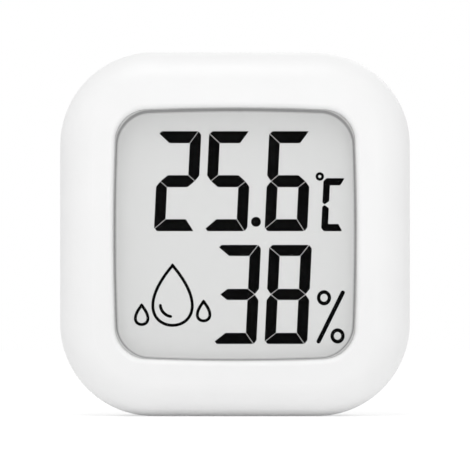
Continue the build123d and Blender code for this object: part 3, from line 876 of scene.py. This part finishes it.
def layer_piece(name, shapes, depth, thickness, finish):
    """A thin piece parallel to the display, of shapes with one outline, or with two for a ring.

    A ring's two outlines have the same number of points.
    """
    mesh = bpy.data.meshes.new(name)
    form = bmesh.new()
    back = display_middle.y - depth
    front = back - thickness
    for shape in shapes:
        loops = []
        for outline in shape:
            for level in (front, back):
                loops.append([
                    form.verts.new((display_middle.x + point.x, level, display_middle.z + point.y))
                    for point in outline
                ])
        count = len(loops[0])
        if len(shape) == 1:
            form.faces.new(loops[0])
            form.faces.new(reversed(loops[1]))
        for step in range(count):
            after = (step + 1) % count
            form.faces.new((loops[0][step], loops[1][step], loops[1][after], loops[0][after]))
            if len(shape) == 2:
                form.faces.new((loops[0][step], loops[0][after], loops[2][after], loops[2][step]))
                form.faces.new((loops[1][step], loops[3][step], loops[3][after], loops[1][after]))
                form.faces.new((loops[2][step], loops[2][after], loops[3][after], loops[3][step]))
    bmesh.ops.recalc_face_normals(form, faces=form.faces)
    form.to_mesh(mesh)
    form.free()
    mesh.materials.append(finish)
    piece = bpy.data.objects.new(name, mesh)
    bpy.context.scene.collection.objects.link(piece)
    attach(piece, "case")
    return piece


def segment_finish(context):
    """Liquid crystal that is switched on: almost black, a little uneven."""
    name = "dark_segment"
    if name in bpy.data.materials:
        return bpy.data.materials[name]
    colour = tuple(context.scene.sensor_finish.segment_colour)
    finish, shader = start_finish(name, colour, 0.55)
    grain = mottle(finish, patch=0.0003, detail=3.0)
    vary_colour(shader, grain, shade(colour, 0.7), shade(colour, 1.3))
    vary_gloss(shader, grain, smooth=0.5, rough=0.62)
    shader.inputs["Specular IOR Level"].default_value = 0.0
    return finish


def place_segments(context, name, shapes):
    """One piece of dark segments, on the front of the display's grey layer."""
    thickness = context.scene.sensor_reading.layer_thickness
    layer_piece(name, shapes, thickness, thickness, segment_finish(context))


# Operators, one for each group of pieces and one for the stage


class SENSOR_OT_dress_case(bpy.types.Operator):
    """Finish the two halves of the case, the battery cover and the button"""

    bl_idname = "sensor.dress_case"
    bl_label = "Case"

    def execute(self, context):
        colours = context.scene.sensor_finish
        white = tuple(colours.case_colour)
        coarse = {"texture": 0.0003, "depth": 0.000003}
        paint(moulded_plastic("case_plastic", white), "front_housing")
        paint(moulded_plastic("case_back_plastic", shade(white, 0.99), 0.48, **coarse), "rear_cover")
        paint(moulded_plastic("cover_plastic", shade(white, 0.985), 0.46, **coarse), "battery_cover")
        paint(moulded_plastic("button_plastic", tuple(colours.button_colour), 0.5), "unit_button")
        return {"FINISHED"}


class SENSOR_OT_dress_window(bpy.types.Operator):
    """Finish the window lens, its tape and the display's films and glasses, paint shade and a shadow line on
    the lens round the window, and lay in the grey layer
    """

    bl_idname = "sensor.dress_window"
    bl_label = "Window and display"

    def execute(self, context):
        window = context.scene.sensor_window
        colours = context.scene.sensor_finish
        thickness = context.scene.sensor_reading.layer_thickness
        paint(clear_pane("clear_lens", (0.995, 0.997, 0.996), index=1.06, roughness=0.03), "window_lens")
        paint(clear_pane("clear_film", (0.99, 0.992, 0.988), index=1.02, roughness=0.12), "front_polariser")
        glass = clear_pane("clear_glass", (0.992, 0.995, 0.993), index=1.02, roughness=0.04)
        paint(glass, "front_glass", "rear_glass")
        let_light_in(nodes["window_lens"], nodes["front_polariser"], nodes["front_glass"])
        tape = dull_body("white_tape", (0.86, 0.86, 0.84), 0.7, patch=0.0003, depth=0.00001, spread=0.04)
        paint(tape, "lens_tape")
        paint(rolled_metal("reflecting_film", (0.76, 0.77, 0.77), 0.4, depth=0.000001), "reflector_film")
        rubber = striped_rubber("carbon_rubber", (0.012, 0.012, 0.013), (0.16, 0.16, 0.17), pitch=0.0001)
        paint(rubber, "zebra_strip")
        foam = dull_body("closed_foam", (0.05, 0.05, 0.052), 0.9, patch=0.0004, depth=0.00012, spread=0.3)
        paint(foam, "foam_pad")

        # Painted shade and shadow on the front of the lens round the window: a light grey band for the shade
        # on the window's lip, a dark line for the shadow in the gap at the edge, and a lighter line where
        # that shadow fades out onto the display. The line and its fade sit a little lower, so the painted
        # shadow is widest at the top, where light falls from above.
        clear_edge = window.lip_shade_width + window.border_width
        outlines = [
            window_outline(window, -window.shade_rim),
            window_outline(window, window.lip_shade_width),
            move(window_outline(window, clear_edge), 0.0, -window.shadow_line_drop),
            move(window_outline(window, clear_edge + window.shadow_fade_width), 0.0, -window.shadow_line_drop),
        ]
        depth = display_middle.y - lens_low.y
        for name, grey, rings in (
            ("lens_margin", tuple(colours.light_shade_colour), [outlines[:2], outlines[2:]]),
            ("lens_border", tuple(colours.shadow_line_colour), [outlines[1:3]]),
        ):
            finish, shader = start_finish(f"{name}_ink", grey, 0.6)
            grain = mottle(finish, patch=0.0004, detail=3.0)
            vary_colour(shader, grain, shade(grey, 0.95), shade(grey, 1.05))
            let_light_in(layer_piece(name, rings, depth, thickness, finish))

        ground = tuple(colours.ground_colour)
        finish, shader = start_finish("display_ground", ground, 0.5)
        grain = mottle(finish, patch=0.0016, detail=3.0)
        vary_colour(shader, grain, shade(ground, 0.993), shade(ground, 1.007))
        vary_gloss(shader, mottle(finish, patch=0.0003), smooth=0.45, rough=0.6)
        shader.inputs["Specular IOR Level"].default_value = 0.2
        half = (film_high - film_low) / 2
        sides = ((-1, 1), (-1, -1), (1, -1), (1, 1))
        corners = [Vector((across * half.x, up * half.z)) for across, up in sides]
        rounded = soften(corners, radius=0.002, steps=12)
        layer = layer_piece("display_ground", [[rounded]], 0.0, thickness, finish)
        return {"FINISHED"}


class SENSOR_OT_show_figures(bpy.types.Operator):
    """Lay the dark segments of the two readings on the display"""

    bl_idname = "sensor.show_figures"
    bl_label = "Figures"

    def execute(self, context):
        reading = context.scene.sensor_reading
        signs = context.scene.sensor_signs
        upper = f"{reading.temperature:04.1f}".replace(".", "")
        lower = f"{reading.humidity:02d}"
        rows = (
            ("temperature", upper, reading.upper_places),
            ("humidity", lower, reading.lower_places),
        )
        for row, (name, figures, places) in enumerate(rows):
            rise = reading.row_rises[row]
            segments = figure_segments(reading, reading.figure_heights[row], reading.level_widths[row])
            for number, (figure, place) in enumerate(zip(figures, places), 1):
                dark = [segments[letter] for letter in FIGURES[int(figure)]]
                shapes = [[move(lean(outline, reading.slant), place, rise)] for outline in dark]
                place_segments(context, f"{name}_figure_{number}", shapes)
        place_segments(context, "decimal_point", [[circle(signs.point_place, signs.point_radius)]])
        return {"FINISHED"}


class SENSOR_OT_show_signs(bpy.types.Operator):
    """Lay the degree sign, the C and the percent sign on the display"""

    bl_idname = "sensor.show_signs"
    bl_label = "Unit signs"

    def execute(self, context):
        reading = context.scene.sensor_reading
        signs = context.scene.sensor_signs
        degree = [circle(signs.degree_place, radius) for radius in signs.degree_radii]
        place_segments(context, "degree_sign", [degree])

        half = soften(celsius_half(*signs.celsius_size, *signs.celsius_lines), 2 * reading.segment_rounding)
        mirrored = [Vector((point.x, -point.y)) for point in reversed(half)]
        celsius = [[move(lean(outline, reading.slant), *signs.celsius_place)] for outline in (half, mirrored)]
        place_segments(context, "celsius_sign", celsius)

        rings = signs.percent_rings
        percent = [
            [circle(centre, radius, signs.percent_stretch) for radius in signs.percent_radii]
            for centre in (rings[:2], rings[2:])
        ]
        slash = [Vector(signs.slash_ends[:2]), Vector(signs.slash_ends[2:])]
        percent.append([stroke(slash, signs.slash_width)])
        place_segments(context, "percent_sign", percent)
        return {"FINISHED"}


class SENSOR_OT_show_symbol(bpy.types.Operator):
    """Lay a plain humidity symbol of three water drops on the display"""

    bl_idname = "sensor.show_symbol"
    bl_label = "Water drops"

    def execute(self, context):
        signs = context.scene.sensor_signs
        line = signs.symbol_line
        shapes = []
        for across, up, width, height in (signs.large_drop, signs.left_drop, signs.right_drop):
            outer = drop_outline(width, height)
            shapes.append([move(outer, across, up), move(inset(outer, line), across, up)])
        centre = Vector((signs.large_drop[0], signs.large_drop[1] - signs.shine_drop))
        shine = arc(centre, signs.shine_radius, *signs.shine_angles, steps=19)
        shapes.append([stroke(shine, line)])
        place_segments(context, "humidity_symbol", shapes)
        return {"FINISHED"}


class SENSOR_OT_dress_board(bpy.types.Operator):
    """Finish the circuit board and what is fixed to it"""

    bl_idname = "sensor.dress_board"
    bl_label = "Board"

    def execute(self, context):
        green = tuple(context.scene.sensor_finish.board_colour)
        paint(masked_board("solder_mask", green), "circuit_board")
        paint(rolled_metal("screw_zinc", (0.62, 0.62, 0.64), 0.34), "board_screws")
        black = (0.012, 0.012, 0.012)
        resin = dull_body("potting_resin", black, 0.3, patch=0.0011, depth=0.00002, spread=0.25)
        paint(resin, "controller_chip")
        resin = dull_body("sensor_resin", (0.02, 0.02, 0.022), 0.55, patch=0.0001, depth=0.000004, spread=0.2)
        paint(resin, "humidity_sensor")
        paint(rolled_metal("crystal_can", (0.75, 0.74, 0.7), 0.22, stretch=(0.1, 1.0, 1.0)), "clock_crystal")
        ceramic = dull_body("fired_ceramic", (0.42, 0.28, 0.16), 0.6, patch=0.0002, depth=0.000006)
        paint(ceramic, "chip_capacitors")
        glaze = dull_body("resistor_glaze", (0.03, 0.03, 0.035), 0.35, patch=0.0003, depth=0.000004)
        paint(glaze, "chip_resistors")
        return {"FINISHED"}


class SENSOR_OT_dress_cell(bpy.types.Operator):
    """Finish the coin cell and its two contact springs"""

    bl_idname = "sensor.dress_cell"
    bl_label = "Coin cell"

    def execute(self, context):
        middle = (cell_low + cell_high) / 2
        paint(turned_metal("cell_can_steel", (0.72, 0.72, 0.73), 0.3, middle), "cell_can")
        paint(turned_metal("cell_cap_steel", (0.66, 0.66, 0.67), 0.36, middle), "cell_cap")
        paint(dull_body("cell_seal", (0.1, 0.1, 0.11), 0.5, patch=0.0004, depth=0.000005), "cell_gasket")
        springs = rolled_metal("spring_nickel", (0.75, 0.73, 0.68), 0.26, stretch=(1.0, 1.0, 0.1))
        paint(springs, "negative_contact", "positive_contact")
        return {"FINISHED"}


class SENSOR_OT_dress_switch(bpy.types.Operator):
    """Finish the small switch under the button"""

    bl_idname = "sensor.dress_switch"
    bl_label = "Switch"

    def execute(self, context):
        black = dull_body("switch_moulding", (0.03, 0.03, 0.032), 0.5, patch=0.0002, depth=0.000005)
        paint(black, "switch_base")
        black = dull_body("plunger_moulding", (0.025, 0.025, 0.027), 0.42, patch=0.0003, depth=0.000003)
        paint(black, "switch_plunger")
        paint(rolled_metal("switch_steel", (0.74, 0.73, 0.71), 0.28), "switch_plate", "switch_dome")
        return {"FINISHED"}


class SENSOR_OT_set_stage(bpy.types.Operator):
    """Set the floor, the light and the camera round the sensor"""

    bl_idname = "sensor.set_stage"
    bl_label = "Stage"

    def execute(self, context):
        scene = context.scene
        stage = scene.sensor_stage
        scene.view_settings.view_transform = "Standard"

        floor_mesh = bpy.data.meshes.new("floor")
        form = bmesh.new()
        bmesh.ops.create_circle(form, cap_ends=True, segments=96, radius=stage.floor_radius)
        form.to_mesh(floor_mesh)
        form.free()
        floor = bpy.data.objects.new("floor", floor_mesh)
        scene.collection.objects.link(floor)
        finish, shader = start_finish("pale_floor", tuple(stage.floor_colour), 0.9)
        shader.inputs["Specular IOR Level"].default_value = 0.0
        tree = finish.node_tree
        glow = tree.nodes.new("ShaderNodeEmission")
        glow.inputs["Strength"].default_value = stage.floor_glow
        shadow = tree.nodes.new("ShaderNodeBsdfDiffuse")
        shadow.inputs["Color"].default_value = (*stage.floor_shade, 1.0)
        pale = tree.nodes.new("ShaderNodeAddShader")
        tree.links.new(glow.outputs["Emission"], pale.inputs[0])
        tree.links.new(shadow.outputs["BSDF"], pale.inputs[1])
        self.show_instead(tree, shader.outputs["BSDF"], pale.outputs["Shader"], "Material Output")
        floor_mesh.materials.append(finish)

        world = bpy.data.worlds.new("studio")
        scene.world = world
        world.use_nodes = True
        tree = world.node_tree
        room = tree.nodes["Background"]
        room.inputs["Color"].default_value = WHITE
        room.inputs["Strength"].default_value = stage.room_light
        backdrop = tree.nodes.new("ShaderNodeBackground")
        backdrop.inputs["Color"].default_value = WHITE
        backdrop.inputs["Strength"].default_value = 1.0
        self.show_instead(tree, room.outputs["Background"], backdrop.outputs["Background"], "World Output")

        middle = Vector((0.0, 0.0, (case_box[0].z + case_box[1].z) / 2))
        for name, place, power in (
            ("key_lamp", stage.key_place, stage.key_power),
            ("front_lamp", stage.front_place, stage.front_power),
            ("back_lamp", stage.back_place, stage.back_power),
        ):
            lamp_data = bpy.data.lights.new(name, "AREA")
            lamp_data.shape = "SQUARE"
            lamp_data.size = stage.lamp_size
            lamp_data.energy = power
            lamp = bpy.data.objects.new(name, lamp_data)
            lamp.location = place
            lamp.rotation_euler = (middle - Vector(place)).to_track_quat("-Z", "Y").to_euler()
            scene.collection.objects.link(lamp)

        camera_data = bpy.data.cameras.new("camera")
        camera_data.lens = stage.lens_length
        camera_data.sensor_width = FILM_WIDTH
        camera_data.clip_start = 0.01
        camera_data.clip_end = 10.0
        camera = bpy.data.objects.new("camera", camera_data)
        distance = stage.frame_width * camera_data.lens / camera_data.sensor_width
        camera.location = (0.0, -distance, stage.camera_height)
        camera.rotation_euler = (QUARTER_TURN, 0.0, 0.0)
        scene.collection.objects.link(camera)
        scene.camera = camera
        return {"FINISHED"}

    def show_instead(self, tree, lighting, shown, output):
        """One shader lights the sensor. The other is what the camera sees, mirrored or through glass too."""
        rays = tree.nodes.new("ShaderNodeLightPath").outputs
        seen = reckon(tree, "MAXIMUM", rays["Is Camera Ray"], rays["Is Glossy Ray"])
        seen = reckon(tree, "MAXIMUM", seen, rays["Is Transmission Ray"])
        mix_shaders(tree, seen, lighting, shown, output)


class SENSOR_PT_panel(bpy.types.Panel):
    """Sizes, colours and steps of the room sensor"""

    bl_idname = "SENSOR_PT_panel"
    bl_label = "Room sensor"
    bl_space_type = "VIEW_3D"
    bl_region_type = "UI"
    bl_category = "Room sensor"

    def draw(self, context):
        layout = self.layout
        for name in GROUPS:
            group = getattr(context.scene, name)
            box = layout.box()
            for setting in group.__annotations__:
                box.prop(group, setting)
        for operator in STEPS:
            layout.operator(operator.bl_idname)


STEPS = (
    SENSOR_OT_set_stage,
    SENSOR_OT_dress_case,
    SENSOR_OT_dress_window,
    SENSOR_OT_show_figures,
    SENSOR_OT_show_signs,
    SENSOR_OT_show_symbol,
    SENSOR_OT_dress_board,
    SENSOR_OT_dress_cell,
    SENSOR_OT_dress_switch,
)
GROUPS = {
    "sensor_reading": SensorReading,
    "sensor_signs": SensorSigns,
    "sensor_window": SensorWindow,
    "sensor_finish": SensorFinish,
    "sensor_stage": SensorStage,
}
CLASSES = (*GROUPS.values(), *STEPS, SENSOR_PT_panel)


def register():
    for kind in CLASSES:
        bpy.utils.register_class(kind)
    for name, group in GROUPS.items():
        setattr(bpy.types.Scene, name, bpy.props.PointerProperty(type=group))


def unregister():
    for name in GROUPS:
        delattr(bpy.types.Scene, name)
    for kind in reversed(CLASSES):
        bpy.utils.unregister_class(kind)


def main():
    register()
    bpy.ops.sensor.set_stage()
    bpy.ops.sensor.dress_case()
    bpy.ops.sensor.dress_window()
    bpy.ops.sensor.show_figures()
    bpy.ops.sensor.show_signs()
    bpy.ops.sensor.show_symbol()
    bpy.ops.sensor.dress_board()
    bpy.ops.sensor.dress_cell()
    bpy.ops.sensor.dress_switch()


if __name__ == "__main__":
    main()
